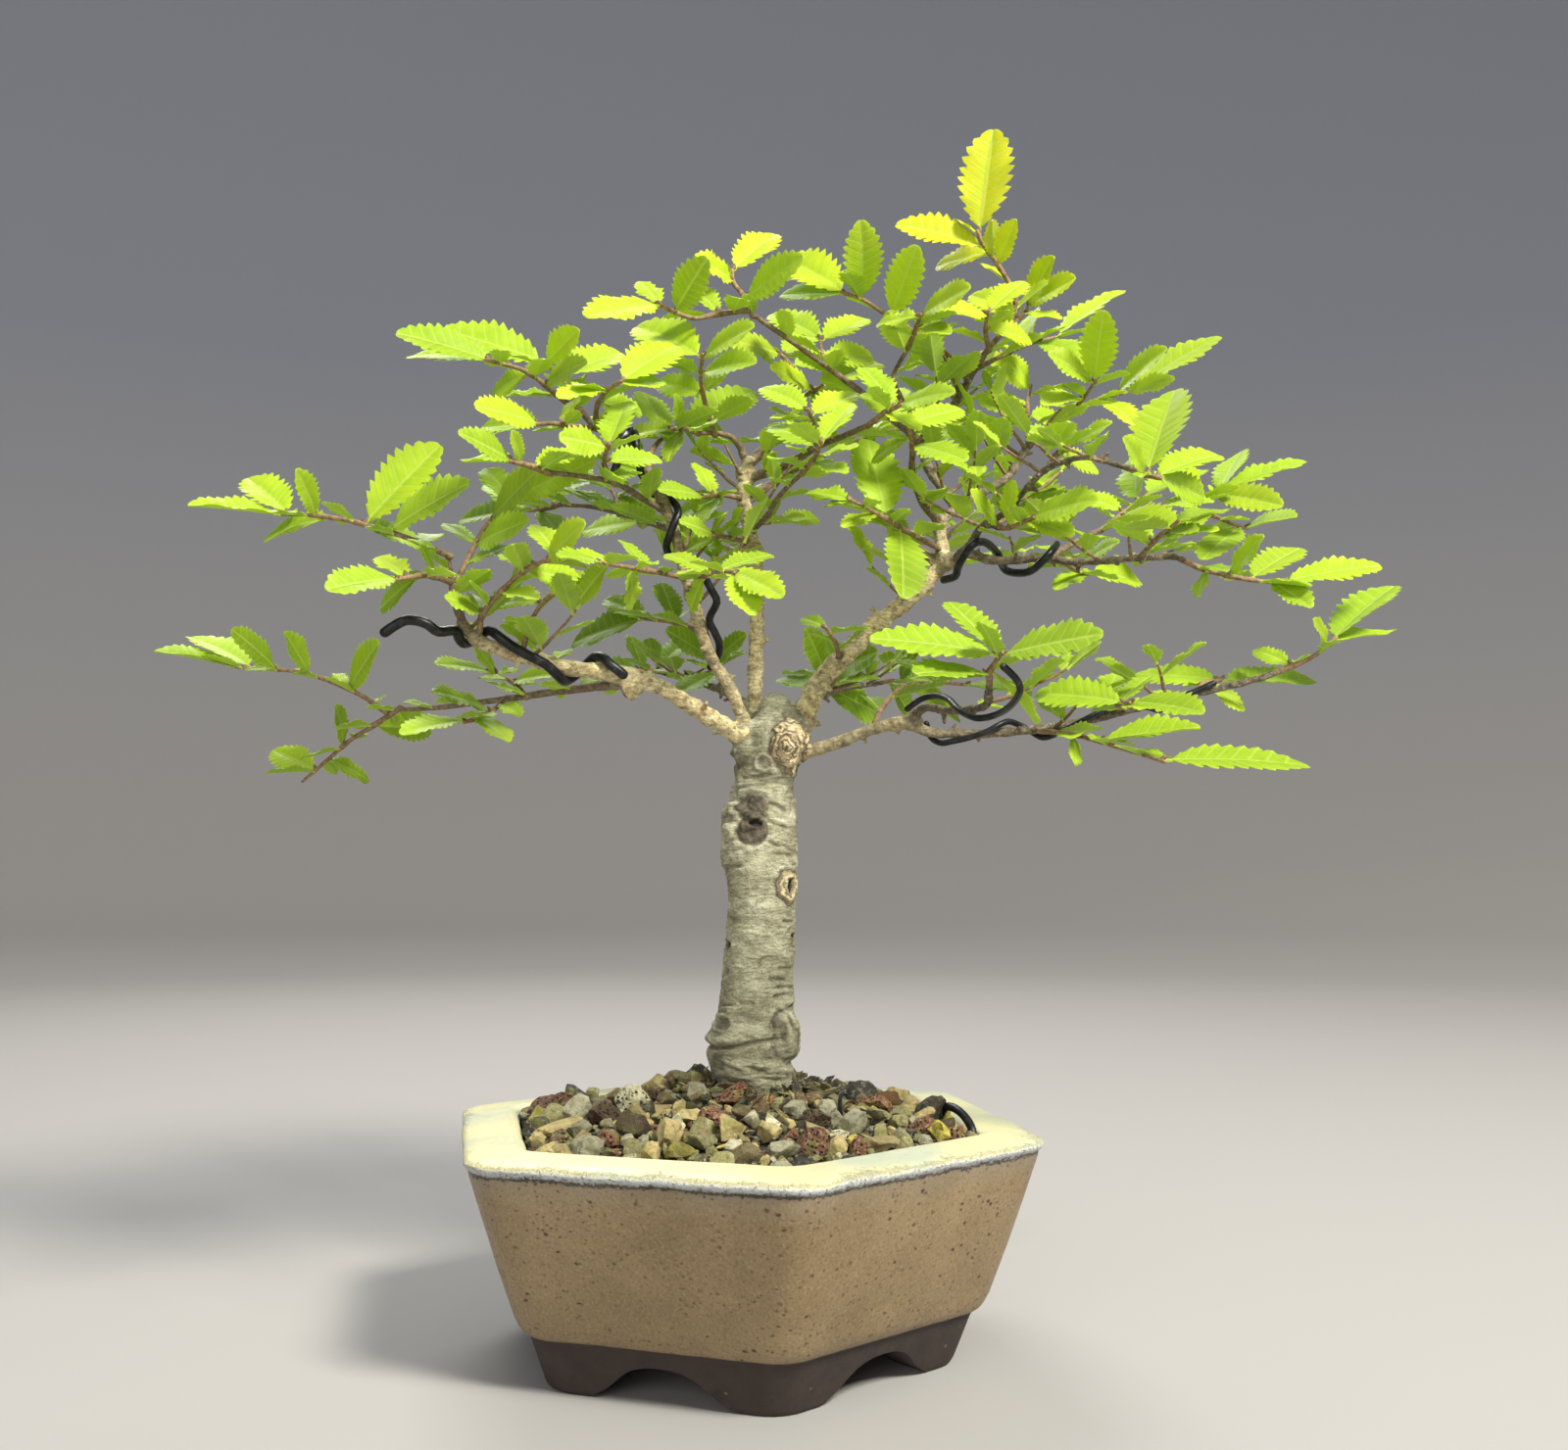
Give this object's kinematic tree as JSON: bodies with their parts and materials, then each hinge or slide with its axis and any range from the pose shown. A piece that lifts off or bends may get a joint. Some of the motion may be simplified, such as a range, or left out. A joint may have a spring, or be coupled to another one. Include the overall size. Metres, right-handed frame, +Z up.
{
  "type": "bonsai tree in pot",
  "caption": "Small chinese elm bonsai with serrated leaves and wired branches, growing from a grit mound in a footed hexagonal glazed pot.",
  "frame": {"origin": "on the pot's axis, on the surface that the pot's feet stand on", "axes": "+Z up along the pot's axis, +X to the right of the tree's front, +Y away from its front"},
  "size_m": [0.2519, 0.1398, 0.2386],
  "materials": {
    "speckled_stoneware": "glossy cream glaze with brown specks over bare red-brown clay",
    "mixed_grit": "matte mixed grit",
    "black_net": "matte black",
    "black_wire": "black anodised, satin",
    "elm_bark": "grey-green bark with fine creases",
    "elm_leaf": "fresh lime-green leaves on brown young twigs"
  },
  "bodies": {
    "root": {"pot": "speckled_stoneware", "soil": "mixed_grit", "drain_mesh": "black_net", "anchor_wire": "black_wire", "wood": "elm_bark", "wire_left": "black_wire", "wire_upper_left_low": "black_wire", "wire_upper_left_high": "black_wire", "wire_right_fork": "black_wire", "wire_low_right": "black_wire", "wire_low_right_near": "black_wire", "leafy_apex_end": "elm_leaf", "leafy_apex_twig": "elm_leaf", "leafy_arch_low": "elm_leaf", "leafy_arch_mid": "elm_leaf", "leafy_arch_tip": "elm_leaf", "leafy_back_left_side": "elm_leaf", "leafy_back_left_tip": "elm_leaf", "leafy_back_right_side": "elm_leaf", "leafy_back_right_tip": "elm_leaf", "leafy_centre_back": "elm_leaf", "leafy_centre_burr": "elm_leaf", "leafy_centre_far": "elm_leaf", "leafy_centre_left": "elm_leaf", "leafy_centre_low_left": "elm_leaf", "leafy_centre_near": "elm_leaf", "leafy_centre_right": "elm_leaf", "leafy_centre_spur": "elm_leaf", "leafy_centre_up": "elm_leaf", "leafy_crown_bridge": "elm_leaf", "leafy_crown_end": "elm_leaf", "leafy_crown_upright": "elm_leaf", "leafy_front_cluster": "elm_leaf", "leafy_left_fan": "elm_leaf", "leafy_left_riser": "elm_leaf", "leafy_left_sprig": "elm_leaf", "leafy_low_left": "elm_leaf", "leafy_low_right_arched": "elm_leaf", "leafy_low_right_fold": "elm_leaf", "leafy_low_right_long": "elm_leaf", "leafy_low_right_thin": "elm_leaf", "leafy_low_right_tip": "elm_leaf", "leafy_near_spray": "elm_leaf", "leafy_outer_end": "elm_leaf", "leafy_outer_inner": "elm_leaf", "leafy_right_back": "elm_leaf", "leafy_right_inner": "elm_leaf", "leafy_right_mid_riser": "elm_leaf", "leafy_right_mid_tip": "elm_leaf", "leafy_right_mid_under": "elm_leaf", "leafy_right_shoulder": "elm_leaf", "leafy_right_stub": "elm_leaf", "leafy_right_twig": "elm_leaf", "leafy_upper_left_back": "elm_leaf", "leafy_upper_left_dark": "elm_leaf", "leafy_upper_left_end": "elm_leaf", "leafy_upper_left_fork": "elm_leaf", "leafy_upper_left_right": "elm_leaf", "leafy_upper_left_young": "elm_leaf"}
  },
  "joints": []
}
